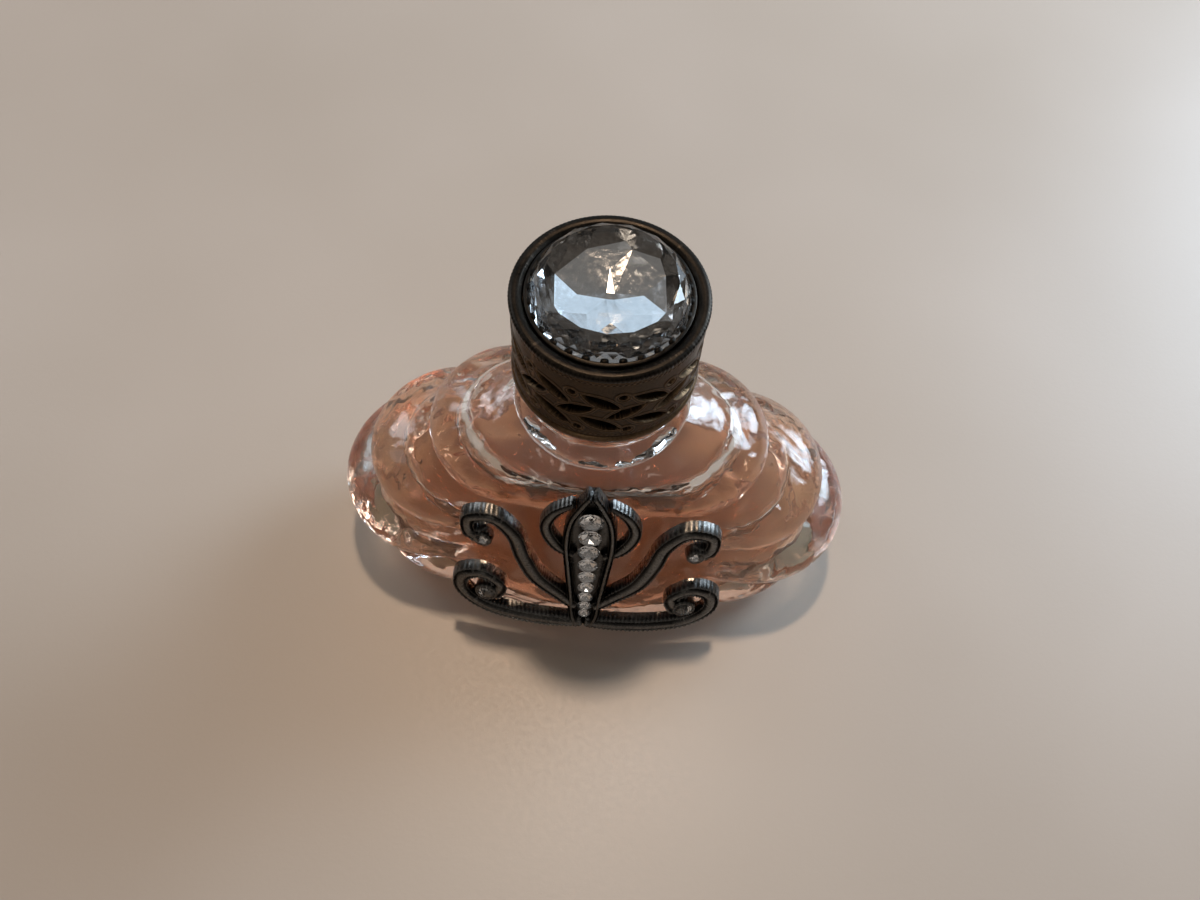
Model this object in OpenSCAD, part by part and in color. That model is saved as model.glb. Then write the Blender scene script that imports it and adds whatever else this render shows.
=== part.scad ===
// Lobed glass perfume bottle with a screw cap set with one large crystal.
// Units are millimetres. X is the bottle's width, -Y its decorated front, +Z up.
// The bottle stands on its base at Z = 0 and the neck axis is X = 0, Y = 0.

/* [Glass body] */
// half width of the widest lobe
lobe_w = 35; // [33:0.5:38]
// half depth of the two lower lobes
lobe_d = 13.3; // [12.5:0.1:14]
// half depth of the central dome on the front and the back
dome_d = 17; // [16:0.1:18]
// thickness of the glass wall
wall = 3; // [2.5:0.1:3.5]
// extra glass at the two narrow ends, mm
end_glass = 2.2; // [1.6:0.2:2.6]
// height of the perfume above the base
fill_z = 26.5; // [20:0.5:26.5]

/* [Neck] */
// radius of the neck between the threads
neck_r = 7.4; // [7.3:0.05:7.5]
// radius over the crest of the neck thread
thread_r = 8.15; // [8:0.05:8.2]
// rise of the thread in one turn
pitch = 3.175; // [3.1:0.025:3.25]
// radius of the bore through the neck
bore_r = 4.3; // [4:0.1:4.8]
// height of the lip of the neck
lip_z = 50; // [49.5:0.1:50]

/* [Cap] */
// height of the cap's lower edge
cap_z = 42.9; // [42.6:0.1:43]
// outside radius of the cap's rim
cap_r = 11; // [11:0.05:11.4]
// number of repeats of the leaves round the cap
leaves = 12; // [10:1:12]
// number of prong teeth that hold the crystal
teeth = 28; // [20:2:32]

/* [Ornament] */
// thickness of the metal casting
cast_t = 1.7; // [1.4:0.1:2]
// lean of the ornament's back, as depth over height
lean = 0.222; // [0.21:0.002:0.23]

/* [Hidden] */
$fn = 64;
eps = 0.01;
NS = 56;
// lobes from the base up: height, half width, half depth, half height,
// and how far each one rounds inwards at its lower and its upper side
LZ = [4.9, 12.45, 20.0, 27.4];
LA = [lobe_w - 3.5, lobe_w, lobe_w - 4.4, lobe_w - 13];
LB = [lobe_d + 0.1, lobe_d, lobe_d - 1.3, lobe_d - 1.9];
LH = [4.5, 4.5, 4.5, 4.6];
LG = [4.5, 4.5, 4.5, 5.0];
LU = [4.5, 6.2, 9.0, 8.0];
DOME = [26, dome_d, 25.4];
DOME_Z = 6;

// ---------- shapes shared by the sub-parts ----------
// radius of a stadium of half width A and half depth B in direction (c, s)
function stad(A, B, c, s) =
  let (e = max(A - B, 0), ac = abs(c), as = abs(s))
  (as > 1e-6 && B * ac / as <= e) ? B / as : e * ac + sqrt(max(B * B - e * e * as * as, 0));
// radius of one rounded lobe at height z
function lobe(A, B, H, G, U, Z, z, c, s) =
  let (u = (z - Z) / H)
  abs(u) >= 1 ? 0.01 : let (d = (u > 0 ? U : G) * (1 - sqrt(1 - u * u))) stad(A - d, max(B - d, 0.5), c, s);
// radius of an ellipsoid a, b, h centred at height Z
function dome(a, b, h, Z, z, c, s) =
  let (u = (z - Z) / h)
  abs(u) >= 1 ? 0.01 : sqrt(1 - u * u) / sqrt(pow(c / a, 2) + pow(s / b, 2));
// soft maximum of a list, p sets how sharp the valleys are
function smax(L, p) =
  let (m = max(L), q = [for (l = L) pow(l / m, p)], o = [for (l = L) 1])
  m * pow(q * o, 1 / p);
function lobes(z, c, s, w, e) =
  [for (i = [0:3]) lobe(LA[i] - w - e, LB[i] - w, LH[i], LG[i] - 0.4 * w, LU[i] - 0.4 * w, LZ[i], z, c, s)];
function outer(z, c, s) =
  smax(concat(lobes(z, c, s, 0, 0), [
    dome(DOME[0], DOME[1], DOME[2], DOME_Z, z, c, s),
    dome(20, 11, 10.5, 26, z, c, s),
    z > 4 ? 0.01 : stad(27, 9.5, c, s),
    z < 30 ? 0.01 : 8.5,
    lobe(10.9, 10.9, 1.7, 1.2, 1.2, 36.8, z, c, s)]), 40);
function inner(z, c, s) =
  smax(concat(lobes(z, c, s, wall, end_glass), [
    dome(DOME[0] - wall, DOME[1] - wall, DOME[2] - wall, DOME_Z, z, c, s),
    dome(20 - wall, 11 - wall, 10.2 - wall / 2, 26, z, c, s),
    stad(20, 7, c, s) * (z < 20 ? 1 : 0.01),
    bore_r]), 12);
// the body's points are closer together at its two narrow ends
function spread(z) = z < 30 ? 0.45 : z > 35.5 ? 1 : 0.45 + 0.1 * (z - 30);
function dir(z, j) =
  let (t = 360 * j / NS, a = spread(z), x = cos(t), y = a * sin(t), n = sqrt(x * x + y * y))
  [x / n, y / n];
// the foot is rounded over the first 1.6 mm
function foot(z) = z < 1.6 ? 1.5 * (1 - sqrt(1 - pow((1.6 - z) / 1.6, 2))) : 0;
function ring_o(z) =
  [for (j = [0:NS - 1]) let (d = dir(z, j), r = outer(z, d[0], d[1]) - foot(z)) [r * d[0], r * d[1], z]];
function ring_i(z, k, g) =
  [for (j = [0:NS - 1]) let (d = dir(z, j), r = k * inner(z, d[0], d[1]) - g) [r * d[0], r * d[1], z]];
function circ(r, z) = [for (j = [0:NS - 1]) [r * cos(360 * j / NS), r * sin(360 * j / NS), z]];
// height of the thread's ridge over the root at height z and angle t, for a helix from z0
function ridge(z, t, z0, turns, b, k, h) =
  let (n = (z - z0) / pitch - t / 360, i = round(n), w = abs(n - i) * pitch, a = i + t / 360,
    f = min(1, max(0, (a + 0.12) * 6), max(0, (turns - a + 0.12) * 6)))
  (a < -0.12 || a > turns + 0.12) ? 0 : f * h * (w < k ? 1 : w > b ? 0 : (b - w) / (b - k));
function ring_t(z) =
  [for (j = [0:NS - 1]) let (t = 360 * j / NS, r = neck_r + ridge(z, t, 44.6, 1.3, 1.0, 0.45, thread_r - neck_r))
    [r * cos(t), r * sin(t), z]];
// closed solid from a stack of rings of n points, first ring seen from below
module stack(R, n) {
  m = len(R);
  pts = [for (r = R) each r];
  faces = concat([[for (j = [0:n - 1]) j]], [[for (j = [n - 1:-1:0]) (m - 1) * n + j]],
    [for (k = [0:m - 2]) for (j = [0:n - 1])
      each [[k * n + j, (k + 1) * n + j, (k + 1) * n + (j + 1) % n], [k * n + j, (k + 1) * n + (j + 1) % n, k * n + (j + 1) % n]]]);
  polyhedron(pts, faces, convexity = 12);
}
// front surface that the ornament's flat back follows
function back_y(x, z) = -16.25 + lean * (z - 14) + 0.006 * x * x;
// a smooth curve through the points P, n steps a span; each point is x, z, half width
function cr(a, b, c, d, t) =
  0.5 * (2 * b + (c - a) * t + (2 * a - 5 * b + 4 * c - d) * t * t + (3 * b - a - 3 * c + d) * t * t * t);
function curve(P, n) =
  let (m = len(P))
  concat([for (i = [0:m - 2]) for (k = [0:n - 1])
    cr(P[max(i - 1, 0)], P[i], P[i + 1], P[min(i + 2, m - 1)], k / n)], [P[m - 1]]);
// a half round bar of height h along a curve on the ornament's back
module bar(P, h, n = 4) {
  C = curve(P, n);
  m = len(C);
  K = 8;
  R = [for (i = [0:m - 1])
    let (a = C[max(i - 1, 0)], b = C[min(i + 1, m - 1)], dx = b[0] - a[0], dz = b[1] - a[1],
      l = sqrt(dx * dx + dz * dz), nx = -dz / l, nz = dx / l)
    [for (k = [0:K])
      let (f = 180 * k / K, s = C[i][2] * cos(f), w = h * pow(sin(f), 0.7), x = C[i][0] + s * nx, z = C[i][1] + s * nz)
      [x, back_y(x, z) - w, z]]];
  stack(R, K + 1);
}
module both() {
  children();
  mirror([1, 0, 0]) children();
}
// a round seat under a scroll's stone
module boss(x, z, r) {
  translate([x, back_y(x, z), z])
    rotate([90 - atan(lean), 0, 0])
      translate([0, 0, -0.02])
        cylinder(h = cast_t + 0.12, r = r, $fn = 24);
}
// a small brilliant cut stone, radius r, facing the front at x, z on the ornament
module gem(x, z, r, w) {
  translate([x, back_y(x, z) - w, z])
    rotate([90 - atan(lean), 0, 0])
      union() {
        cylinder(h = 0.35, r = r, $fn = 12);
        translate([0, 0, 0.35 - eps]) cylinder(h = 0.4 * r, r1 = r, r2 = 0.6 * r, $fn = 12);
      }
}

// ---------- sub-parts ----------
module glass_bottle() {
  zo = [0, 0.12, 0.45, 0.95, 1.6, 2.4, 3.4, 4.9, 6.4, 7.4, 7.94, 8.4, 9, 9.8, 10.9, 12.45, 14, 15.1, 15.9, 16.5,
    16.94, 17.6, 18.6, 20, 21.5, 22.6, 23.4, 24, 24.49, 25.1, 26.1, 27.4, 28.8, 30, 31, 31.9, 33, 34, 35.05];
  zi = [34.2, 33.2, 32.2, 31, 29.6, 27.6, 25.5, 23.8, 22, 20, 18, 16.2, 14.4, 12.45, 10.5, 8.7, 7, 5.4];
  R = concat(
    [for (z = zo) ring_o(z)],
    [circ(10.2, 35.3), circ(10.75, 35.9), circ(10.9, 36.8), circ(10.7, 37.8), circ(9.9, 38.5), circ(8.9, 38.9),
      circ(8.8, 39.3), circ(9.7, 39.6), circ(9.9, 40.2), circ(9.6, 40.8), circ(8.2, 41.3), circ(7.6, 42.2)],
    [for (k = [0:12]) ring_t(43.2 + k * 0.46)],
    [circ(neck_r, lip_z - 0.6), circ(neck_r - 0.3, lip_z - 0.15), circ(neck_r - 0.7, lip_z),
      circ(bore_r + 0.5, lip_z), circ(bore_r, lip_z - 0.5), circ(bore_r, 38), circ(bore_r + 0.1, 35.6)],
    [for (z = zi) ring_i(z, 1, 0)],
    [ring_i(4.2, 0.965, 0), ring_i(3.5, 0.9, 0), ring_i(wall + 0.1, 0.8, 0)]);
  color([0.93, 0.91, 0.9, 0.35]) stack(R, NS);
}

module perfume() {
  zi = [27.6, 25.5, 23.8, 22, 20, 18, 16.2, 14.4, 12.45, 10.5, 8.7, 7, 5.4];
  low = [for (z = zi) if (z < fill_z - 0.4) z];
  R = concat(
    [ring_i(wall + 0.2, 0.8, 0.1), ring_i(3.55, 0.9, 0.1), ring_i(4.2, 0.965, 0.1)],
    [for (i = [len(low) - 1:-1:0]) ring_i(low[i], 1, 0.1)],
    [ring_i(fill_z, 1, 0.15)]);
  color([0.86, 0.5, 0.38]) stack(R, NS);
}

spine = [[0, 6.2, 1.0], [0, 8.6, 1.7], [0, 12.6, 2.0], [0, 18, 2.5], [0, 24, 3.0], [0, 28.5, 2.6], [0, 31.6, 1.4], [0, 33.6, 0.3]];
module ornament_casting() {
  edge = [for (p = spine) [p[2] - 0.1, p[1], 0.55]];
  color([0.2, 0.2, 0.22])
    union() {
      bar([for (p = spine) [p[0], p[1], p[2]]], cast_t - 0.6, 3);
      both() bar(edge, cast_t + 0.15, 3);
      both() bar([[0, 7, 0.9], [4.5, 6.6, 1.15], [9.5, 6.6, 1.2], [14, 7.4, 1.2], [16.8, 9.8, 1.15], [16.6, 12.9, 1.05],
        [14, 14.4, 1.0], [11.6, 12.9, 1.0], [12.4, 10.9, 1.5], [14, 10.8, 1.8]], cast_t);
      both() bar([[1.2, 10.5, 0.8], [3.6, 13, 1.1], [6.6, 16, 1.25], [8.4, 20, 1.25], [9.6, 24, 1.15], [12.2, 26.6, 1.05],
        [15.3, 25.6, 0.95], [15.4, 22.9, 1.1], [13.6, 22.3, 1.35]], cast_t);
      both() bar([[1.8, 21.5, 0.6], [4.2, 23.2, 0.9], [5.6, 26.4, 0.85], [4.6, 29.4, 0.7], [2.2, 31.6, 0.4]], cast_t - 0.3);
      both() boss(13.4, 10.9, 1.65);
      both() boss(13.7, 22.3, 1.3);
    }
}

module ornament_spine_stones() {
  color([0.95, 0.96, 1])
    for (i = [0:8])
      gem(0, 9 + 1.7 * i + 0.095 * i * i, 0.82 + 0.1 * i, cast_t - 0.62);
}

module ornament_scroll_stones() {
  color([0.95, 0.96, 1])
    union() {
      both() gem(13.4, 10.9, 1.3, cast_t);
      both() gem(13.7, 22.3, 0.95, cast_t);
    }
}

module ornament_glue() {
  color([0.85, 0.83, 0.75])
    for (z = [9, 14, 19.5])
      translate([0, back_y(0, z) - 0.15, z])
        rotate([-90, 0, 0])
          cylinder(h = 1.2, r = 1.3);
}

module cap_liner() {
  color([0.9, 0.9, 0.88])
    translate([0, 0, lip_z + 0.02])
      cylinder(h = 0.76, r = 8.1);
}

module cap_insert() {
  n = 40;
  z0 = 44.6 + pitch / 2;
  R = [for (i = [0:n])
    let (t = 160 + 380 * i / n, z = z0 + pitch * t / 360 - pitch, f = min(1, 0.3 + 0.15 * i, 0.3 + 0.15 * (n - i)), g = 8.35 - 0.75 * f)
    [for (p = [[8.6, -0.9], [g, -0.35], [g, 0.35], [8.6, 0.9]])
      [p[0] * cos(t), p[0] * sin(t), z + p[1]]]];
  color([0.12, 0.12, 0.13])
    union() {
      difference() {
        translate([0, 0, cap_z + 0.5]) cylinder(h = 51.6 - cap_z - 0.5, r = 9.38);
        translate([0, 0, cap_z]) cylinder(h = 50.8 - cap_z, r = 8.35);
      }
      stack(R, 4);
    }
}

module cap_sleeve() {
  color([0.1, 0.09, 0.08])
    translate([0, 0, cap_z + 0.05])
      difference() {
        cylinder(h = 55.3 - cap_z - 0.05, r = 9.8);
        translate([0, 0, -1]) cylinder(h = 20, r = 9.4);
      }
}

// one leaf shaped opening of length 2 a and half width b, cut along X through the band
module leaf(a, b, tilt) {
  r = (a * a + b * b) / (2 * b);
  rotate([tilt, 0, 0])
    rotate([0, 90, 0])
      linear_extrude(height = 3)
        intersection() {
          translate([0, r - b]) circle(r);
          translate([0, b - r]) circle(r);
        }
}

module filigree_band() {
  color([0.42, 0.3, 0.17])
    difference() {
      translate([0, 0, cap_z + 1.12]) cylinder(h = 55.32 - cap_z - 1.12, r = cap_r - 0.1);
      translate([0, 0, cap_z]) cylinder(h = 20, r = 9.82);
      for (i = [0:leaves - 1])
        rotate([0, 0, 360 * i / leaves]) {
          translate([9, 0, 51.2]) leaf(2.3, 0.62, 60);
          translate([9, 0, 46.8]) leaf(2.4, 0.66, 65);
          rotate([0, 0, 180 / leaves]) translate([9, 0, 49.2]) leaf(2.3, 0.62, -62);
          rotate([0, 0, 150 / leaves]) translate([9, 0, 52.3]) rotate([0, 90, 0]) cylinder(h = 3, r = 0.42);
          rotate([0, 0, 200 / leaves]) translate([9, 0, 45.6]) rotate([0, 90, 0]) cylinder(h = 3, r = 0.42);
        }
    }
}

module foot_ring() {
  color([0.46, 0.34, 0.2])
    rotate_extrude()
      translate([9.82, cap_z])
        polygon([[0, 0.1], [0.2, 0], [0.85, 0], [1.1, 0.2], [1.18, 0.55], [1.1, 0.9], [0.85, 1.1], [0, 1.1]]);
}

module bezel_rim() {
  color([0.2, 0.2, 0.22])
    rotate_extrude()
      translate([0, 55.34])
        polygon([[9.42, 0], [10.75, 0], [cap_r, 0.2], [cap_r, 0.62], [10.8, 0.9], [10.3, 0.98], [9.8, 0.9], [9.42, 0.6]]);
}

module stone_cup() {
  color([0.55, 0.52, 0.45])
    translate([0, 0, 52.02])
      difference() {
        cylinder(h = 3.3, r = 9.37);
        translate([0, 0, 0.3]) cylinder(h = 5, r = 9);
      }
}

module cup_cement() {
  color([0.8, 0.78, 0.7])
    translate([0, 0, 51.61])
      cylinder(h = 0.4, r = 8.6);
}

module crystal_foil() {
  color([0.75, 0.77, 0.8])
    rotate_extrude()
      polygon([[0, 52.8], [1, 52.8], [4.3, 53.15], [6.75, 53.62], [8.85, 55.08], [8.85, 55.28], [6.68, 53.79], [4.25, 53.3], [0.95, 52.95], [0, 52.95]]);
}

// cut stone: culet, pavilion, girdle, crown and table rings, closed by flat facets
module crystal() {
  color([0.9, 0.95, 1, 0.5])
    hull() {
      translate([0, 0, 53.05]) cylinder(h = 0.01, r = 0.9, $fn = 8);
      translate([0, 0, 53.4]) rotate([0, 0, 22.5]) cylinder(h = 0.01, r = 4.2, $fn = 8);
      translate([0, 0, 53.9]) cylinder(h = 0.01, r = 6.6, $fn = 16);
      translate([0, 0, 55.38]) cylinder(h = 0.4, r = 8.78, $fn = 16);
      translate([0, 0, 56.9]) rotate([0, 0, 11.25]) cylinder(h = 0.01, r = 8.35, $fn = 16);
      translate([0, 0, 58]) cylinder(h = 0.01, r = 7.75, $fn = 16);
      translate([0, 0, 58.95]) rotate([0, 0, 22.5]) cylinder(h = 0.01, r = 6.8, $fn = 8);
    }
}

module prong_ring() {
  color([0.24, 0.24, 0.26])
    union() {
      translate([0, 0, 55.36])
        difference() {
          cylinder(h = 0.7, r = 9.38);
          translate([0, 0, -1]) cylinder(h = 3, r = 8.86);
        }
      for (i = [0:teeth - 1])
        rotate([0, 0, 360 * i / teeth])
          translate([8.95, -0.45, 55.98])
            rotate([0, -150, 0])
              translate([0, 0, -0.12])
                cube([0.75, 0.9, 0.2]);
    }
}

glass_bottle();
perfume();
ornament_casting();
ornament_spine_stones();
ornament_scroll_stones();
ornament_glue();
cap_liner();
cap_insert();
cap_sleeve();
filigree_band();
foot_ring();
bezel_rim();
stone_cup();
cup_cement();
crystal_foil();
crystal();
prong_ring();
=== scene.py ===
"""Looks of the lobed perfume bottle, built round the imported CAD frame. Lengths here are in millimetres."""

import math

import bmesh
import bpy
import numpy as np
from mathutils import Matrix, Vector


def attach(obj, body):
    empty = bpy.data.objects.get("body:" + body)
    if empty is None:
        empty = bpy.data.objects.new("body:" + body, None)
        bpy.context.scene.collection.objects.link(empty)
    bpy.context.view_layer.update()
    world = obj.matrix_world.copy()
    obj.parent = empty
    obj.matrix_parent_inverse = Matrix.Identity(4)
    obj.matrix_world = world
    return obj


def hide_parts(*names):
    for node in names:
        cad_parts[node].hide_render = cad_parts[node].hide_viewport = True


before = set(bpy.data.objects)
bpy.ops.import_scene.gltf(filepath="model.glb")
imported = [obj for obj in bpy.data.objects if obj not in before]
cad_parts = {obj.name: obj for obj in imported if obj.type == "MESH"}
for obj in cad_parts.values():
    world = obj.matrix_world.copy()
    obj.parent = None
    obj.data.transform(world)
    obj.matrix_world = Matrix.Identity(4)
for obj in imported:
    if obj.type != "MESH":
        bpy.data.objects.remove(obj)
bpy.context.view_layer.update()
MM = 0.001

# ---------- driving sizes, the same as the CAD's ----------
SEG = 224                      # points round the glass
WALL = 3.0
END_GLASS = 2.2                # extra glass at the ends of the lobes
FILL_Z = 26.5
NECK_R, THREAD_R, PITCH, BORE_R, LIP_Z = 7.4, 8.15, 3.175, 4.3, 50.0
THREAD_Z, THREAD_TURNS = 44.6, 1.3
LOBES = [  # height, half width, half depth, half height, lower and upper rounding
    (4.9, 31.5, 13.4, 4.5, 4.5, 4.5),
    (12.45, 35.0, 13.3, 4.5, 4.5, 6.2),
    (20.0, 30.6, 12.0, 4.5, 4.5, 9.0),
    (27.4, 22.0, 11.4, 4.6, 5.0, 8.0),
]
DOME = (26.0, 17.0, 25.4, 6.0)  # half width, half depth, half height, centre height
FOOT_Z, FOOT_IN = 1.6, 1.5     # height and depth of the rounding at the foot
BEAD_R, BEAD_Z, BEAD_TUBE = 9.2, 36.8, 1.7
CAVITY_FLOOR = (3.1, 0.78)     # its height, and its size against the cavity's wall
CAP_Z = 42.9
CAP_R = 11.0
BAND_TOP = 55.32
LEAVES = 12
TEETH = 28
CAST_T = 1.7
LEAN = 0.222
FLOOR_Z = -0.03                # just under the glass, so that the two are never in one plane


# ---------- meshes ----------
def show(name, mesh, materials):
    """An object for a mesh, with one material or a list of them."""
    obj = bpy.data.objects.new(name, mesh)
    bpy.context.collection.objects.link(obj)
    for m in materials if isinstance(materials, (list, tuple)) else [materials]:
        mesh.materials.append(m)
    return obj


def piece(name, verts, faces, materials, smooth=True, sharp=None):
    """A mesh object from points in millimetres."""
    mesh = bpy.data.meshes.new(name)
    mesh.from_pydata((np.asarray(verts, float) * MM).tolist(), [], [list(map(int, f)) for f in faces])
    mesh.validate()
    mesh.update()
    obj = show(name, mesh, materials)
    mesh.polygons.foreach_set("use_smooth", [smooth] * len(mesh.polygons))
    if sharp is not None:
        mesh.set_sharp_from_angle(angle=math.radians(sharp))
    return obj


def stack_faces(m, n):
    """Quads between m rings of n points each, with n-gons over the first and last ring."""
    faces = []
    for k in range(m - 1):
        for j in range(n):
            i = (j + 1) % n
            faces.append((k * n + j, k * n + i, (k + 1) * n + i, (k + 1) * n + j))
    faces.append(tuple(range(n - 1, -1, -1)))
    faces.append(tuple((m - 1) * n + j for j in range(n)))
    return faces


def ring_faces(m, n):
    """Quads over a torus-like stack: m rings of n points, the last joined to the first."""
    return [(k * n + j, k * n + (j + 1) % n, ((k + 1) % m) * n + (j + 1) % n, ((k + 1) % m) * n + j)
            for k in range(m) for j in range(n)]


def turn_angles(n):
    return np.arange(n) * 2 * math.pi / n


def ring(radius, z, c, s):
    return np.stack([radius * c, radius * s, np.full_like(c, z)], axis=1)


def revolve(profile, n, wave=None):
    """A closed profile (radius, height) turned round Z. wave(i, angle) is added to the radius of point i."""
    t = turn_angles(n)
    rings = []
    for i, (r, z) in enumerate(profile):
        rr = r + (wave(i, t) if wave else 0.0)
        rings.append(ring(rr * np.ones(n), z, np.cos(t), np.sin(t)))
    return np.concatenate(rings), ring_faces(len(profile), n)


def rounded(points, n=3, k=0.25):
    """Cuts each corner of a closed profile with a small curve."""
    out = []
    p = [np.array(q, float) for q in points]
    for i in range(len(p)):
        a, b, c = p[i - 1], p[i], p[(i + 1) % len(p)]
        s, e = b + (a - b) * k, b + (c - b) * k
        for j in range(n + 1):
            f = j / n
            out.append(tuple((1 - f) ** 2 * s + 2 * f * (1 - f) * b + f * f * e))
    return out


def arc(r, z, wide, high, angles):
    """Points (radius, height) on an ellipse about (r, z)."""
    return [(r + wide * math.cos(math.radians(d)), z + high * math.sin(math.radians(d))) for d in angles]


# ---------- the body's shape: radii towards the directions (c, s) ----------
def stadium(a, b, c, s):
    """A bar with round ends: half width a, half depth b."""
    e = np.maximum(a - b, 0.0)
    ac, as_ = np.abs(c), np.abs(s)
    flat = b * ac <= e * np.maximum(as_, 1e-6)
    on_end = e * ac + np.sqrt(np.maximum(b * b - e * e * as_ * as_, 0.0))
    return np.where(flat, b / np.maximum(as_, 1e-6), on_end)


def lobe(a, b, h, lower, upper, zc, z, c, s):
    """A stadium whose edge is rounded below and above its middle height zc."""
    u = (z - zc) / h
    if abs(u) >= 1:
        return np.full_like(c, 0.01)
    d = (upper if u > 0 else lower) * (1 - math.sqrt(1 - u * u))
    return stadium(a - d, max(b - d, 0.5), c, s)


def dome(a, b, h, zc, z, c, s):
    u = (z - zc) / h
    if abs(u) >= 1:
        return np.full_like(c, 0.01)
    return math.sqrt(1 - u * u) / np.sqrt((c / a) ** 2 + (s / b) ** 2)


def soft_max(parts, p):
    """The largest of several radii, with the creases between them filled. A higher p is sharper."""
    parts = np.array(parts)
    top = parts.max(axis=0)
    return top * ((parts / top) ** p).sum(axis=0) ** (1 / p)


def lobes(z, c, s, wall, end):
    """The stacked lobes, shrunk by a wall and by extra glass at their ends."""
    return [lobe(a - wall - end, b - wall, h, lo - 0.4 * wall, up - 0.4 * wall, zc, z, c, s)
            for zc, a, b, h, lo, up in LOBES]


def outer(z, c, s):
    a, b, h, zc = DOME
    small = np.full_like(c, 0.01)
    r = soft_max(lobes(z, c, s, 0.0, 0.0) + [
        dome(a, b, h, zc, z, c, s),
        dome(20, 11, 10.5, 26, z, c, s),                 # shoulder
        stadium(27, 9.5, c, s) if z <= 4 else small,     # flat foot
        small + 8.5 if z >= 30 else small,               # root of the neck
        lobe(10.9, 10.9, BEAD_TUBE, 1.2, 1.2, BEAD_Z, z, c, s)], 40)
    return r - (FOOT_IN * (1 - math.sqrt(1 - ((FOOT_Z - z) / FOOT_Z) ** 2)) if z < FOOT_Z else 0.0)


def inner(z, c, s):
    a, b, h, zc = DOME
    return soft_max(lobes(z, c, s, WALL, END_GLASS) + [
        dome(a - WALL, b - WALL, h - WALL, zc, z, c, s),
        dome(20 - WALL, 11 - WALL, 10.2 - WALL / 2, 26, z, c, s),
        stadium(20, 7, c, s) * (1.0 if z < 20 else 0.01),
        np.full_like(c, BORE_R)], 12)


def directions(z):
    """Unit directions round the body, spread more evenly along the flat lobes than equal angles would be."""
    t = turn_angles(SEG)
    k = 0.45 if z < 30 else 1.0 if z > 35.5 else 0.45 + 0.1 * (z - 30)
    x, y = np.cos(t), k * np.sin(t)
    n = np.hypot(x, y)
    return x / n, y / n


def outer_ring(z):
    c, s = directions(z)
    return ring(outer(z, c, s), z, c, s)


def inner_ring(z, scale=1.0, grow=0.0):
    c, s = directions(z)
    return ring(scale * inner(z, c, s) + grow, z, c, s)


def circle(r, z):
    t = turn_angles(SEG)
    return ring(r * np.ones(SEG), z, np.cos(t), np.sin(t))


def thread_ring(z):
    """The neck at one height: a round ridge that climbs by the pitch in each turn and fades at both ends."""
    t = turn_angles(SEG)
    n = (z - THREAD_Z) / PITCH - t / (2 * math.pi)
    i = np.round(n)
    w = np.abs(n - i) * PITCH
    a = i + t / (2 * math.pi)
    ends = np.minimum(np.maximum(0, (a + 0.12) * 6), np.maximum(0, (THREAD_TURNS - a + 0.12) * 6))
    q = np.clip((1.0 - w) / 0.55, 0, 1)
    r = NECK_R + (THREAD_R - NECK_R) * np.minimum(1, ends) * q * q * (3 - 2 * q)
    return ring(r, z, np.cos(t), np.sin(t))


def body_heights():
    """Ring heights that follow each lobe's rounding, with a pair at each lobe's top."""
    top = 35.0
    zs = set(np.round(np.arange(FOOT_Z, top, 0.3), 3).tolist())
    for zc, _, _, h, _, _ in LOBES:
        for d in range(-84, 90, 6):
            zs.add(round(zc + h * math.sin(math.radians(d)), 3))
        zs.update((round(zc + h - 0.004, 3), round(zc + h + 0.004, 3)))
    zs = sorted(z for z in zs if FOOT_Z <= z < top)
    kept = [zs[0]]
    for z in zs[1:]:
        if z - kept[-1] > 0.07 or any(abs(z - (q[0] + q[3])) < 0.006 for q in LOBES):
            kept.append(z)
    return [0.0, 0.02, 0.07, 0.15, 0.3, 0.5, 0.8, 1.2] + kept


def cavity(top=34.6):
    """Heights and scales of the cavity's rings from the top down to the rounded floor."""
    walls = [(z, 1.0) for z in np.arange(top, 5.4, -0.3)]
    rounding = [(5.1, 0.998), (4.6, 0.985), (4.1, 0.96), (3.7, 0.925), (3.4, 0.885), (3.2, 0.84)]
    return walls + rounding + [CAVITY_FLOOR]


def glass_rings():
    """The whole skin of the glass: up the outside, over the lip, and down inside to the cavity's floor."""
    rings = [outer_ring(z) for z in body_heights()]
    collar = [(9.9, 35.15)] + arc(BEAD_R, BEAD_Z, BEAD_TUBE, BEAD_TUBE, range(-60, 71, 10))
    collar += [(9.1, 38.75), (8.85, 39.0), (8.8, 39.15)] + arc(8.9, 40.2, 1.0, 0.95, range(-70, 81, 15))
    collar += [(8.6, 41.25), (8.1, 41.45), (7.75, 41.9), (7.5, 42.6)]
    rings += [circle(r, z) for r, z in collar]
    rings += [thread_ring(z) for z in np.arange(43.0, 49.2, 0.14)]
    lip = [(NECK_R, 49.3), (NECK_R - 0.05, 49.6), (NECK_R - 0.25, 49.85), (NECK_R - 0.6, 49.97),
           (NECK_R - 1.0, LIP_Z), (BORE_R + 0.9, LIP_Z), (BORE_R + 0.45, 49.95), (BORE_R + 0.12, 49.75),
           (BORE_R, 49.3), (BORE_R, 46.0), (BORE_R, 42.0), (BORE_R, 38.0), (BORE_R + 0.1, 35.6)]
    rings += [circle(r, z) for r, z in lip]
    rings += [inner_ring(z, scale) for z, scale in cavity()]
    return rings


# ---------- materials ----------
def material(name):
    m = bpy.data.materials.new(name)
    m.use_nodes = True
    nt = m.node_tree
    nt.nodes.clear()
    out = nt.nodes.new("ShaderNodeOutputMaterial")
    shader = nt.nodes.new("ShaderNodeBsdfPrincipled")
    nt.links.new(shader.outputs[0], out.inputs[0])
    return m, nt, shader, out


def feed(nt, socket, v):
    """Links a socket into another one, or sets its value."""
    if isinstance(v, bpy.types.NodeSocket):
        nt.links.new(v, socket)
    else:
        socket.default_value = v


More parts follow.
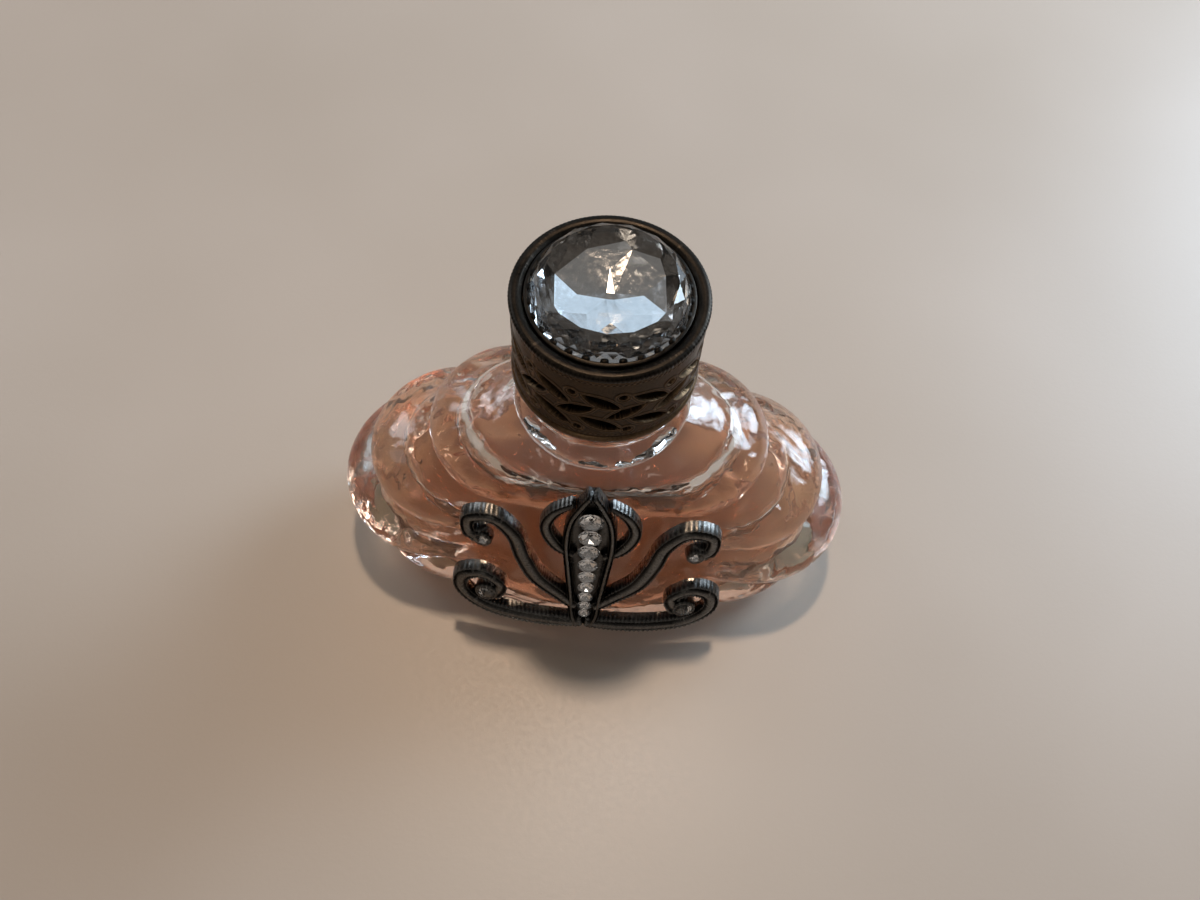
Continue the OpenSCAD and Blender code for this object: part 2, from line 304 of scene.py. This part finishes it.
def add(nt, kind, inputs=None, **props):
    n = nt.nodes.new(kind)
    for k, v in props.items():
        setattr(n, k, v)
    for k, v in (inputs or {}).items():
        feed(nt, n.inputs[k], v)
    return n


def noise(nt, scale_mm, detail=3.0, rough=0.5, stretch=None, distortion=0.0):
    """Noise whose features are about scale_mm across."""
    vec = add(nt, "ShaderNodeTexCoord").outputs["Object"]
    if stretch:
        vec = add(nt, "ShaderNodeMapping", {"Vector": vec, "Scale": stretch}).outputs[0]
    return add(nt, "ShaderNodeTexNoise", {"Vector": vec, "Scale": 1000.0 / scale_mm, "Detail": detail,
                                          "Roughness": rough, "Distortion": distortion}).outputs[0]


def remap(nt, value, lo, hi, a=0.0, b=1.0):
    """Turns the range a to b into the range lo to hi."""
    sockets = {"Value": value, "From Min": a, "From Max": b, "To Min": lo, "To Max": hi}
    return add(nt, "ShaderNodeMapRange", sockets).outputs[0]


def mix_colour(nt, fac, a, b):
    n = add(nt, "ShaderNodeMix", data_type="RGBA", blend_type="MIX")
    for socket, v in ((n.inputs[0], fac), (n.inputs[6], a), (n.inputs[7], b)):
        feed(nt, socket, v)
    return n.outputs[2]


def math_node(nt, op, a, b=0.0):
    n = add(nt, "ShaderNodeMath", operation=op)
    for i, v in enumerate((a, b)):
        feed(nt, n.inputs[i], v)
    return n.outputs[0]


def bump(nt, shader, height, strength, distance_mm, normal=None):
    n = add(nt, "ShaderNodeBump", {"Height": height, "Strength": strength, "Distance": distance_mm * MM})
    if normal is not None:
        nt.links.new(normal, n.inputs["Normal"])
    if shader is not None:
        nt.links.new(n.outputs[0], shader.inputs["Normal"])
    return n.outputs[0]


def let_lamps_through(nt, shader, out, tint):
    """Rays from lamps pass the surface with a tint, so glass casts a light shadow."""
    path = add(nt, "ShaderNodeLightPath")
    clear = add(nt, "ShaderNodeBsdfTransparent", {"Color": tint})
    sides = {0: path.outputs["Is Shadow Ray"], 1: shader.outputs[0], 2: clear.outputs[0]}
    nt.links.new(add(nt, "ShaderNodeMixShader", sides).outputs[0], out.inputs[0])


def glass(name, ior, colour, ripple, rough, shadow, clear=1.0, absorb=None, density=0.0):
    """Clear matter with a rippled surface. clear is the share of light that enters it, shadow tints lamps."""
    m, nt, sh, out = material(name)
    sh.inputs["Base Color"].default_value = colour
    sh.inputs["Transmission Weight"].default_value = clear
    sh.inputs["IOR"].default_value = ior
    film = noise(nt, 3.0, 4.0)
    nt.links.new(remap(nt, film, rough[0], rough[1], 0.45, 0.75), sh.inputs["Roughness"])
    wave = noise(nt, 5.5, 1.5, 0.4, distortion=0.6)
    fine = noise(nt, 1.1, 2.0, 0.5)
    mid = noise(nt, 2.4, 1.5, 0.4, distortion=0.4)
    normal = bump(nt, None, wave, ripple, 0.8)
    normal = bump(nt, None, mid, ripple, 0.16, normal)
    bump(nt, sh, fine, ripple * 0.5, 0.03, normal)
    let_lamps_through(nt, sh, out, shadow)
    if absorb:
        vol = add(nt, "ShaderNodeVolumeAbsorption", {"Color": absorb, "Density": density})
        nt.links.new(vol.outputs[0], out.inputs["Volume"])
    return m


def metal(name, dark, bright, rough, wear=0.45, grain_mm=0.35, scratch=0.25, relief=0.03, recess=0.0,
          cavity_mm=0.5):
    """Metal that is brighter where hands rub it, with fine scratches. recess darkens its hollows."""
    m, nt, sh, _ = material(name)
    sh.inputs["Metallic"].default_value = 1.0
    patches = noise(nt, 2.6, 5.0, 0.6)
    grain = noise(nt, grain_mm, 4.0, 0.65)
    lines = noise(nt, 0.9, 3.0, 0.6, stretch=(1.0, 1.0, 9.0))
    edge = add(nt, "ShaderNodeNewGeometry").outputs["Pointiness"]
    worn = remap(nt, edge, 0.0, 1.0, 0.49, 0.54)
    worn = math_node(nt, "MULTIPLY", worn, remap(nt, grain, 0.35, 1.0, 0.35, 0.6))
    patchy = math_node(nt, "MULTIPLY", patches, wear)
    tone = math_node(nt, "ADD", patchy, math_node(nt, "MULTIPLY", worn, 0.7))
    tone = remap(nt, tone, 0.0, 1.0, wear * 0.35, wear * 0.65 + 0.75)
    col = mix_colour(nt, tone, dark, bright)
    if recess:
        ao = add(nt, "ShaderNodeAmbientOcclusion", {"Distance": cavity_mm * MM}, samples=6)
        shade = remap(nt, ao.outputs["AO"], 1.0 - recess, 1.0, 0.2, 0.9)
        col = mix_colour(nt, shade, (0.012, 0.009, 0.006, 1), col)
    nt.links.new(col, sh.inputs["Base Color"])
    smear = remap(nt, patches, rough[0], rough[1], 0.3, 0.7)
    nt.links.new(math_node(nt, "ADD", smear, remap(nt, lines, 0.0, 0.08, 0.4, 0.7)), sh.inputs["Roughness"])
    normal = bump(nt, None, grain, 0.5, relief)
    bump(nt, sh, lines, scratch, 0.02, normal)
    return m


def plain(name, colour, rough, speck=0.12, grain_mm=0.4, relief=0.02, clear=0.0):
    """Plastic, foam, cement or glue: a slightly mottled colour with a fine grain."""
    m, nt, sh, _ = material(name)
    g = noise(nt, grain_mm, 4.0, 0.6)
    big = noise(nt, 3.0, 3.0)
    shade = tuple(c * (1 - speck) for c in colour[:3]) + (1,)
    nt.links.new(mix_colour(nt, remap(nt, big, 0.0, 1.0, 0.35, 0.65), shade, colour), sh.inputs["Base Color"])
    nt.links.new(remap(nt, g, rough - 0.08, rough + 0.08, 0.3, 0.7), sh.inputs["Roughness"])
    bump(nt, sh, g, 0.35, relief)
    sh.inputs["Transmission Weight"].default_value = clear
    return m


CLEAR_GLASS = (0.985, 0.985, 0.98, 1)
GLASS_TINT = (0.9, 0.93, 0.9, 1)
BOTTLE_GLASS = glass("clear_moulded_glass", 1.5, CLEAR_GLASS, 0.9, (0.0, 0.02), (0.27, 0.28, 0.29, 1),
                     absorb=GLASS_TINT, density=6.0)
BASE_GLASS = glass("clear_glass_base", 1.5, CLEAR_GLASS, 0.3, (0.0, 0.02), (0.97, 0.97, 0.97, 1),
                   absorb=GLASS_TINT, density=6.0)
PERFUME = glass("peach_perfume", 1.36, (0.96, 0.65, 0.47, 1), 0.02, (0.0, 0.0), (0.95, 0.9, 0.87, 1),
                clear=0.88, absorb=(0.92, 0.49, 0.28, 1), density=33.0)
CRYSTAL = glass("cut_crystal", 1.58, (1, 1, 1, 1), 0.0, (0.0, 0.015), (0.9, 0.9, 0.9, 1))

FOIL = metal("silvered_foil", (0.72, 0.76, 0.8, 1), (0.93, 0.95, 0.97, 1), (0.015, 0.04),
             wear=0.3, grain_mm=0.8, scratch=0.0, relief=0.0001)
# foil darkened as painted shade, for the dark ring near the cap stone's girdle
PAINTED_SHADE_FOIL = metal("foil_edge_painted_shade", (0.1, 0.085, 0.07, 1), (0.5, 0.46, 0.42, 1), (0.01, 0.04),
                  wear=0.6, grain_mm=0.5, scratch=0.0, relief=0.0001)
GUNMETAL = metal("gunmetal", (0.008, 0.008, 0.008, 1), (0.21, 0.205, 0.195, 1), (0.17, 0.36),
                 wear=0.35, grain_mm=0.25, scratch=0.4, recess=0.8, cavity_mm=0.6)
RIM_METAL = metal("gunmetal_rim", (0.005, 0.0045, 0.004, 1), (0.05, 0.042, 0.034, 1), (0.26, 0.42),
                  wear=0.35, grain_mm=0.25, scratch=0.3, relief=0.02, recess=0.7, cavity_mm=0.4)
BRASS = metal("antique_brass", (0.014, 0.009, 0.005, 1), (0.2, 0.13, 0.075, 1), (0.28, 0.5),
              wear=0.4, grain_mm=0.3, scratch=0.3, recess=0.85, cavity_mm=0.6)
BRASS_EDGE = metal("antique_brass_edge", (0.028, 0.018, 0.01, 1), (0.27, 0.175, 0.1, 1), (0.25, 0.42),
                   grain_mm=0.3, scratch=0.3, relief=0.02, recess=0.6, cavity_mm=0.4)
CUP_METAL = metal("cup_metal", (0.3, 0.24, 0.15, 1), (0.62, 0.52, 0.36, 1), (0.2, 0.4), wear=0.4)
DARK_METAL = metal("dark_metal", (0.012, 0.01, 0.008, 1), (0.07, 0.055, 0.04, 1), (0.4, 0.6), wear=0.3)

INSERT = plain("black_plastic", (0.018, 0.018, 0.02, 1), 0.38)
LINER = plain("liner_foam", (0.82, 0.82, 0.8, 1), 0.6, speck=0.06, grain_mm=0.25, relief=0.04)
CEMENT = plain("cement", (0.66, 0.63, 0.55, 1), 0.75, speck=0.15, grain_mm=0.3, relief=0.05)
GLUE = plain("clear_glue", (0.78, 0.74, 0.66, 1), 0.25, speck=0.1, grain_mm=1.2, relief=0.03, clear=0.6)

# the CAD nodes that keep their shape
for node, mat in {"ornament_glue": GLUE, "cap_liner": LINER, "cap_insert": INSERT, "cap_sleeve": DARK_METAL,
                  "stone_cup": CUP_METAL, "cup_cement": CEMENT, "crystal_foil": FOIL}.items():
    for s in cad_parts[node].material_slots:
        s.material = mat


# ---------- bottle ----------
def build_glass():
    rings = glass_rings()
    faces = stack_faces(len(rings), SEG)
    obj = piece("bottle_glass", np.concatenate(rings), faces, [BOTTLE_GLASS, BASE_GLASS], True, 50)
    base_z = 1.3
    for f in obj.data.polygons:
        if f.center.z < base_z * MM:
            f.material_index = 1
    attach(obj, "bottle")
    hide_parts("glass_bottle")


def build_perfume():
    """The liquid reaches a hair into the glass wall, so that the two meet with no air between them."""
    grow = 0.04
    top_z = FILL_Z + 0.45  # as far as the liquid's edge climbs the wall
    rings = [inner_ring(z, scale, grow) for z, scale in reversed(cavity(top_z)) if z < top_z]
    rings[0] = inner_ring(*CAVITY_FLOOR, grow)
    rings[0][:, 2] -= grow
    for climb, shrink in ((0.3, 0.99), (0.16, 0.975), (0.06, 0.95), (0.0, 0.9), (0.0, 0.6)):
        top = inner_ring(FILL_Z, shrink)
        top[:, 2] += climb
        rings.append(top)
    obj = piece("perfume_fill", np.concatenate(rings), stack_faces(len(rings), SEG), PERFUME, True, 60)
    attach(obj, "bottle")
    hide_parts("perfume")


# ---------- ornament ----------
def back_y(x, z):
    """The casting's back, which leans with the front of the glass and bends round it."""
    return -16.25 + LEAN * (z - 14) + 0.006 * x * x


def smooth_curve(points, n):
    """A Catmull-Rom curve through the points, with n steps between each two."""
    p = np.array(points, float)
    out = []
    for i in range(len(p) - 1):
        a, b, c, d = p[max(i - 1, 0)], p[i], p[i + 1], p[min(i + 2, len(p) - 1)]
        for k in range(n):
            t = k / n
            square = (2 * a - 5 * b + 4 * c - d) * t * t
            out.append(0.5 * (2 * b + (c - a) * t + square + (3 * b - a - 3 * c + d) * t ** 3))
    out.append(p[-1])
    return np.array(out)


# half of a bar's section, from its edge inwards: share of the half width, share of the height
CROWNED = [(1.0, 0.0), (1.0, 0.35), (0.99, 0.6), (0.95, 0.78), (0.88, 0.86), (0.8, 0.84), (0.74, 0.74),
           (0.66, 0.7), (0.5, 0.82), (0.3, 0.94)]
FLAT = [(1.0, 0.0), (1.0, 0.7), (0.9, 1.0), (0.5, 1.0)]
BEAD_AT, BEAD_WIDTH = 0.87, 0.08  # shares of the half width
SIDE_NOTCH = 0.35                 # how far the notches cut into the side, against the bead's height


def bar_mesh(points, height, mirror=False, bead=0.15, pitch=0.6, steps=40, half=CROWNED):
    """A cast bar with two beaded edges, along a curve on the ornament's back.

    points are x, z and half width."""
    c = smooth_curve(points, steps)
    d = np.gradient(c[:, :2], axis=0)
    d /= np.linalg.norm(d, axis=1)[:, None]
    run = np.concatenate([[0], np.cumsum(np.linalg.norm(np.diff(c[:, :2], axis=0), axis=1))])
    section = half + [(0.0, 1.0)] + [(-a, h) for a, h in reversed(half)]
    verts = []
    for i in range(len(c)):
        ends = min(1.0, 0.25 + 2.2 * min(run[i], run[-1] - run[i]) / max(c[i, 2], 0.2))
        notch = 0.5 + 0.5 * math.cos(2 * math.pi * run[i] / pitch)
        for a, h in section:
            edge = math.exp(-((abs(a) - BEAD_AT) / BEAD_WIDTH) ** 2)
            w = height * h * math.sqrt(ends) + bead * edge * (notch - (0.5 if h > 0 else 0.0))
            on_side = abs(a) > 0.9 and h > 0
            across = a * (c[i, 2] - (SIDE_NOTCH * bead * (1 - notch) if on_side else 0.0))
            x = c[i, 0] - across * d[i, 1]
            z = c[i, 1] + across * d[i, 0]
            verts.append((-x if mirror else x, back_y(x, z) - max(w, 0.0), z))
    faces = stack_faces(len(c), len(section))
    return verts, [f[::-1] for f in faces] if mirror else faces


# x, z, half width
SPINE = [(0, 6.2, 1.0), (0, 8.6, 1.7), (0, 12.6, 2.0), (0, 18, 2.5), (0, 24, 3.0), (0, 28.5, 2.6),
         (0, 31.6, 1.4), (0, 33.6, 0.3)]
LOW_SCROLL = [(0, 7, 0.9), (4.5, 6.6, 1.15), (9.5, 6.6, 1.2), (14, 7.4, 1.2), (16.8, 9.8, 1.15),
              (16.6, 12.9, 1.05), (14, 14.4, 1.0), (11.6, 12.9, 1.0), (12.4, 10.9, 1.5), (14, 10.8, 1.8)]
SIDE_SCROLL = [(1.2, 10.5, 0.8), (3.6, 13, 1.1), (6.6, 16, 1.25), (8.4, 20, 1.25), (9.6, 24, 1.15),
               (12.2, 26.6, 1.05), (15.3, 25.6, 0.95), (15.4, 22.9, 1.1), (13.6, 22.3, 1.35)]
TOP_LOOP = [(1.8, 21.5, 0.6), (4.2, 23.2, 0.9), (5.6, 26.4, 0.85), (4.6, 29.4, 0.7), (2.2, 31.6, 0.4)]

# stones: x, z, radius, height of the girdle above the casting's back
SPINE_GEMS = [(0, 9 + 1.7 * i + 0.095 * i * i, 0.82 + 0.1 * i, CAST_T - 0.5) for i in range(9)]
SCROLL_GEMS = [(k * x, z, r, w) for k in (1, -1)
               for x, z, r, w in ((13.4, 10.9, 1.3, CAST_T - 0.05), (13.7, 22.3, 0.95, CAST_T - 0.1))]


def facing(x, z, w):
    """The frame of a stone that faces out of the casting at x, z, w above its back."""
    slope = Matrix.Rotation(math.pi / 2 - math.atan(LEAN), 4, "X")
    swing = Matrix.Rotation(math.atan(0.012 * x), 4, "Z")
    return Matrix.Translation(Vector((x, back_y(x, z) - w, z))) @ swing @ slope


def seat(x, z, r, w):
    """A small closed cup with a fluted wall, round a scroll's stone."""
    profile = rounded([(0.05, -w), (r + 0.36, -w), (r + 0.34, -0.3), (r + 0.3, -0.05), (r + 0.16, 0.14),
                       (r - 0.03, 0.17), (r - 0.06, -0.05), (0.55 * r, -0.35 * r), (0.05, -0.55 * r)])
    v, f = revolve(profile, 64, lambda i, t: 0.02 * np.cos(16 * t) if 7 < i < 24 else 0.0)
    at = facing(x, z, w)
    return [tuple(at @ Vector(q)) for q in v], f


def build_casting():
    verts, faces = [], []

    def join(v, f):
        k = len(verts)
        verts.extend(v)
        faces.extend(tuple(i + k for i in g) for g in f)

    join(*bar_mesh(SPINE, 0.45, bead=0.0, half=FLAT))
    channel_wall = [(w - 0.1, z, 0.5) for _, z, w in SPINE]
    for mirror in (False, True):
        join(*bar_mesh(channel_wall, CAST_T + 0.1, mirror, bead=0.12, pitch=0.5, steps=48))
        join(*bar_mesh(LOW_SCROLL, CAST_T, mirror))
        join(*bar_mesh(SIDE_SCROLL, CAST_T, mirror))
        join(*bar_mesh(TOP_LOOP, CAST_T - 0.3, mirror))
    for gem in SCROLL_GEMS:
        join(*seat(*gem))
    obj = piece("ornament_metal", verts, faces, GUNMETAL, True, 55)
    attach(obj, "bottle")
    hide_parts("ornament_casting")


# ---------- stones ----------
def convex(points, backing, at=Matrix.Identity(4)):
    """A cut stone: the flat-faced hull of its corners. backing(normal, centre) numbers a face's material."""
    bm = bmesh.new()
    for p in points:
        bm.verts.new(Vector(p) * MM)
    bmesh.ops.convex_hull(bm, input=bm.verts)
    bmesh.ops.dissolve_limit(bm, angle_limit=math.radians(0.6), verts=bm.verts, edges=bm.edges)
    bmesh.ops.recalc_face_normals(bm, faces=bm.faces)
    for f in bm.faces:
        f.material_index = int(backing(f.normal, f.calc_center_median() / MM))
    bm.transform(at)
    return bm


def polar(n, r, z, turn=0.0, uneven=0.0):
    """n points round Z. uneven lifts and drops them a little, as hand-cut facets meet."""
    angles = [2 * math.pi * (k + turn) / n for k in range(n)]
    return [(r * math.cos(a), r * math.sin(a), z + uneven * math.sin(2.7 * k)) for k, a in enumerate(angles)]


def gem_points(r):
    girdle = polar(12, r, 0.0) + polar(12, r, 0.08 * r)
    crown = polar(6, 0.86 * r, 0.28 * r, 0.5) + polar(6, 0.5 * r, 0.45 * r)
    pavilion = polar(8, 0.76 * r, -0.24 * r, 0.5) + polar(3, 0.08 * r, -0.5 * r)
    return girdle + crown + pavilion


def build_gems(name, node, spots):
    """Small foiled brilliants, each turned to face out of the casting."""
    total = bmesh.new()
    mesh = bpy.data.meshes.new(name)
    for x, z, r, w in spots:
        at = facing(x, z, w)
        at.translation *= MM
        at = at @ Matrix.Rotation(0.7 * x + 0.9 * z, 4, "Z")
        bm = convex(gem_points(r), lambda normal, _: normal.z < -0.05, at)
        bm.to_mesh(mesh)
        total.from_mesh(mesh)
        bm.free()
    total.to_mesh(mesh)
    total.free()
    obj = show(name, mesh, [CRYSTAL, FOIL])
    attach(obj, "bottle")
    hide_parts(node)


# ---------- cap ----------
def finish_cap(obj, node):
    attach(obj, "cap")
    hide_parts(node)


BAND_R, BAND_MAX_R, BAND_SUNK_R, BAND_IN_R = 10.76, 10.9, 9.84, 9.83
BAND_LEAVES = (  # share of a repeat, height, half length, half width, tilt from upright
    (0.0, 51.2, 2.35, 0.8, 60),
    (0.0, 46.8, 2.45, 0.84, 65),
    (0.5, 49.1, 2.3, 0.78, -62),
)
BERRIES = ((150 / 360.0, 52.3), (200 / 360.0, 45.6))  # share of a repeat, height
BERRY_R = 0.42


def leaf_depth(u, v, a, b, tilt):
    """How far inside a leaf outline about the origin the point (u, v) is; negative outside."""
    k = math.radians(tilt)
    along = u * math.sin(k) + v * math.cos(k)
    across = u * math.cos(k) - v * math.sin(k)
    return b * (1 - (along / a) ** 2) - np.abs(across)


def build_band():
    """The openwork band: raised metal between sunk laurel leaves, berries and a chased border."""
    n, rows = 84 * LEAVES, 150
    lo, hi = CAP_Z + 1.12, BAND_TOP
    t = turn_angles(n)
    T, Z = np.meshgrid(t, np.linspace(lo, hi, rows))
    repeat = 2 * math.pi * 10.2 / LEAVES
    depths, grooves = [], []  # how far inside each opening, and the groove chased round it
    for wrap in (-1, 0, 1):
        around = (T / (2 * math.pi) * LEAVES) % 1.0 + wrap
        for shift, z, a, b, tilt in BAND_LEAVES:
            depths.append(leaf_depth((around - shift) * repeat, Z - z, a, b, -tilt))
            grooves.append(np.exp(-((depths[-1] + 0.28) / 0.09) ** 2))
        for shift, z in BERRIES:
            depths.append(BERRY_R - np.hypot((around - shift) * repeat, Z - z))
            grooves.append(np.exp(-((depths[-1] + 0.25) / 0.08) ** 2))
    depth, groove = np.max(depths, axis=0), np.max(grooves, axis=0)
    sunk = np.clip(depth / 0.1 + 0.5, 0, 1)
    sunk = sunk * sunk * (3 - 2 * sunk)
    crown = 0.12 * np.clip(1 - np.abs(depth + 0.3) / 0.3, 0, 1)
    R = (BAND_R + crown - 0.09 * groove) * (1 - sunk) + BAND_SUNK_R * sunk
    edge = np.minimum(Z - lo, hi - Z)
    R += 0.05 * np.exp(-((edge - 0.55) / 0.1) ** 2) * np.cos(T * 110) - 0.12 * np.exp(-(edge / 0.12) ** 2)
    R = np.minimum(R, BAND_MAX_R)
    outside = np.stack([R * np.cos(T), R * np.sin(T), Z], axis=2).reshape(-1, 3)
    inside = [ring(BAND_IN_R * np.ones(n), z, np.cos(t), np.sin(t)) for z in (hi, lo)]
    verts = np.concatenate([outside] + inside)
    obj = piece("cap_band", verts, ring_faces(rows + 2, n), BRASS, True, 60)
    finish_cap(obj, "filigree_band")


def build_rings():
    foot = rounded([(9.82, CAP_Z + 0.1), (10.02, CAP_Z), (10.67, CAP_Z), (10.92, CAP_Z + 0.2),
                    (CAP_R, CAP_Z + 0.55), (10.92, CAP_Z + 0.9), (10.67, CAP_Z + 1.1), (9.82, CAP_Z + 1.1)])
    v, f = revolve(foot, 360)
    finish_cap(piece("cap_foot", v, f, BRASS_EDGE, True, 50), "foot_ring")
    rim = rounded([(9.42, 55.34), (10.75, 55.34), (10.98, 55.5), (CAP_R, 55.75), (CAP_R, 55.96), (10.86, 56.18),
                   (10.55, 56.3), (10.2, 56.32), (9.85, 56.24), (9.42, 55.94)])

    def milling(i, t):
        """Shallow notches, deepest where the rim is widest."""
        return -0.05 * max(0.0, (rim[i][0] - 10.6) / 0.4) * (0.5 + 0.5 * np.cos(140 * t)) ** 2

    v, f = revolve(rim, 1120, milling)
    finish_cap(piece("cap_rim", v, f, RIM_METAL, True, 50), "bezel_rim")


def build_prongs():
    """A low wall round the stone, with small teeth bent over its edge."""
    wall = rounded([(8.86, 55.36), (9.38, 55.36), (9.38, 56.0), (9.3, 56.2), (9.0, 56.28), (8.84, 56.22)])
    v, f = revolve(wall, 336)
    verts, faces = v.tolist(), list(f)
    tooth = [(8.92, 55.86), (9.26, 55.92), (9.28, 56.14), (8.98, 56.3), (8.62, 56.42), (8.32, 56.4),
             (8.3, 56.28), (8.6, 56.2)]
    mid_r, mid_z = 8.8, 56.15
    slices = ((-0.052, 0.55), (-0.04, 0.9), (0.0, 1.0), (0.04, 0.9), (0.052, 0.55))  # angle, size
    for k in range(TEETH):
        start = len(verts)
        for turn, size in slices:
            a = 2 * math.pi * k / TEETH + turn
            for r, z in tooth:
                rr = mid_r + (r - mid_r) * size
                verts.append((rr * math.cos(a), rr * math.sin(a), mid_z + (z - mid_z) * size))
        faces += [tuple(start + i for i in q) for q in stack_faces(len(slices), len(tooth))]
    finish_cap(piece("cap_prongs", verts, faces, RIM_METAL, True, 40), "prong_ring")


def build_crystal():
    """The cap's stone: a wide table, a low crown, and a shallow foiled back whose foil is darkened towards its
    edge as painted shade.
    """
    girdle = polar(32, 8.78, 55.4) + polar(32, 8.78, 55.8)
    crown = polar(32, 8.7, 56.6, 0.5) + polar(32, 8.4, 57.45) + polar(16, 7.95, 58.35, 0.5)
    table = polar(16, 7.2, 58.95)
    edge = polar(30, 8.5, 55.13, 0.5, 0.07) + polar(30, 8.0, 54.78, 0.0, 0.07) + polar(20, 7.2, 54.3, 0.5, 0.06)
    back = polar(8, 6.5, 53.857, 0.6) + polar(8, 3.6, 53.47, 0.1) + polar(4, 0.6, 53.08, 0.5)
    clear_z, bright_z = 55.38, 54.0  # clear above the first, bright foil below the second; between them the foil is darkened as painted shade

    def backing(_, centre):
        return 0 if centre.z >= clear_z else 2 if centre.z > bright_z else 1

    bm = convex(girdle + crown + table + edge + back, backing)
    mesh = bpy.data.meshes.new("cap_crystal")
    bm.to_mesh(mesh)
    bm.free()
    finish_cap(show("cap_crystal", mesh, [CRYSTAL, FOIL, PAINTED_SHADE_FOIL]), "crystal")


# ---------- scene ----------
def build_floor():
    m, nt, sh, _ = material("table_top")
    g = noise(nt, 0.7, 4.0, 0.6)
    big = noise(nt, 60.0, 2.0)
    mottle = remap(nt, big, 0.0, 1.0, 0.3, 0.7)
    col = mix_colour(nt, mottle, (0.37, 0.325, 0.28, 1), (0.405, 0.36, 0.318, 1))
    nt.links.new(col, sh.inputs["Base Color"])
    nt.links.new(remap(nt, g, 0.38, 0.46, 0.3, 0.7), sh.inputs["Roughness"])
    sh.inputs["Specular IOR Level"].default_value = 0.45
    bump(nt, sh, g, 0.25, 0.05)
    s = 1500
    corners = [(-s, -s, FLOOR_Z), (s, -s, FLOOR_Z), (s, s, FLOOR_Z), (-s, s, FLOOR_Z)]
    floor = piece("floor", corners, [(0, 1, 2, 3)], m, False)


def area(name, at, aim, size, watts, colour, soft=False):
    """A rectangular lamp. A soft one fades towards its edges, as a window behind a curtain does."""
    lamp = bpy.data.lights.new(name, "AREA")
    lamp.shape = "RECTANGLE"
    lamp.size, lamp.size_y = size[0] * MM, size[1] * MM
    lamp.energy = watts
    lamp.color = colour
    if soft:
        lamp.use_nodes = True
        nt = lamp.node_tree
        uv = add(nt, "ShaderNodeSeparateXYZ", {0: add(nt, "ShaderNodeNewGeometry").outputs["Parametric"]})
        u, v = (math_node(nt, "MULTIPLY", a, math_node(nt, "SUBTRACT", 1.0, a)) for a in uv.outputs[:2])
        fade = math_node(nt, "MULTIPLY", math_node(nt, "MULTIPLY", u, v), 36.0)  # 36 makes its mean 1
        nt.links.new(fade, nt.nodes["Emission"].inputs["Strength"])
    obj = bpy.data.objects.new(name, lamp)
    bpy.context.collection.objects.link(obj)
    obj.location = Vector(at) * MM
    obj.rotation_euler = (Vector(aim) - Vector(at)).to_track_quat("-Z", "Y").to_euler()


def build_lights():
    """A dim room that is lighter at the back, and its lamps."""
    world = bpy.data.worlds.new("studio")
    bpy.context.scene.world = world
    world.use_nodes = True
    nt = world.node_tree
    nt.nodes.clear()
    out = add(nt, "ShaderNodeOutputWorld")
    co = add(nt, "ShaderNodeTexCoord")
    xyz = add(nt, "ShaderNodeSeparateXYZ", {0: co.outputs["Generated"]})
    up = remap(nt, xyz.outputs[2], 0.0, 1.0, 0.1, 1.0)
    back = remap(nt, xyz.outputs[1], 0.0, 1.0, -0.3, 0.6)
    wall = mix_colour(nt, back, (0.105, 0.093, 0.082, 1), (0.2, 0.2, 0.2, 1))
    col = mix_colour(nt, up, wall, (0.16, 0.148, 0.135, 1))
    bg = add(nt, "ShaderNodeBackground", {0: col, 1: 1.0})
    nt.links.new(bg.outputs[0], out.inputs[0])
    area("window", (385, 290, 260), (90, 60, 0), (330, 350), 3.2, (0.68, 0.84, 1.0), soft=True)
    area("wall", (-470, 300, 420), (0, 0, 20), (260, 310), 0.62, (0.85, 0.92, 1.0), soft=True)
    area("sky", (0, 600, 450), (0, 0, 50), (820, 400), 0.8, (0.62, 0.82, 1.0))
    area("key", (-12, 172, 700), (0, 0, 0), (46, 46), 2.5, (1.0, 0.74, 0.53))
    area("spot", (-260, 190, 760), (0, 0, 0), (26, 26), 0.14, (1.0, 0.8, 0.6))
    area("room", (-150, -620, 480), (0, 0, 15), (260, 180), 0.3, (1.0, 0.9, 0.78), soft=True)


CAMERA_AT = (0.315, -71.498, 151.046)
CAMERA_PITCH, CAMERA_ROLL = 61.1, 4.9  # degrees down from level, and about its own axis
LENS, SENSOR = 33.0, 36.0


def build_camera():
    """Looks down at the bottle from its front, turned a little about its own axis."""
    pitch, roll = math.radians(CAMERA_PITCH), math.radians(CAMERA_ROLL)
    look = Vector((0, math.cos(pitch), -math.sin(pitch)))
    level = Vector((1, 0, 0))
    below = look.cross(level)
    right = level * math.cos(roll) - below * math.sin(roll)
    down = level * math.sin(roll) + below * math.cos(roll)
    cam = bpy.data.cameras.new("camera")
    cam.sensor_width = SENSOR
    cam.lens = LENS
    cam.clip_start, cam.clip_end = 0.005, 20.0
    obj = bpy.data.objects.new("camera", cam)
    bpy.context.collection.objects.link(obj)
    m = Matrix((right, -down, -look)).transposed().to_4x4()
    m.translation = Vector(CAMERA_AT) * MM
    obj.matrix_world = m
    bpy.context.scene.camera = obj


build_camera()
build_lights()
build_floor()
build_glass()
build_perfume()
build_casting()
build_gems("spine_gems", "ornament_spine_stones", SPINE_GEMS)
build_gems("scroll_gems", "ornament_scroll_stones", SCROLL_GEMS)
build_band()
build_rings()
build_prongs()
build_crystal()

# enough bounces for light to cross the glass, the liquid and the stones
scene = bpy.context.scene
scene.view_settings.view_transform = "Standard"
scene.cycles.max_bounces = 24
scene.cycles.transmission_bounces = 24
scene.cycles.glossy_bounces = 8
scene.cycles.transparent_max_bounces = 24
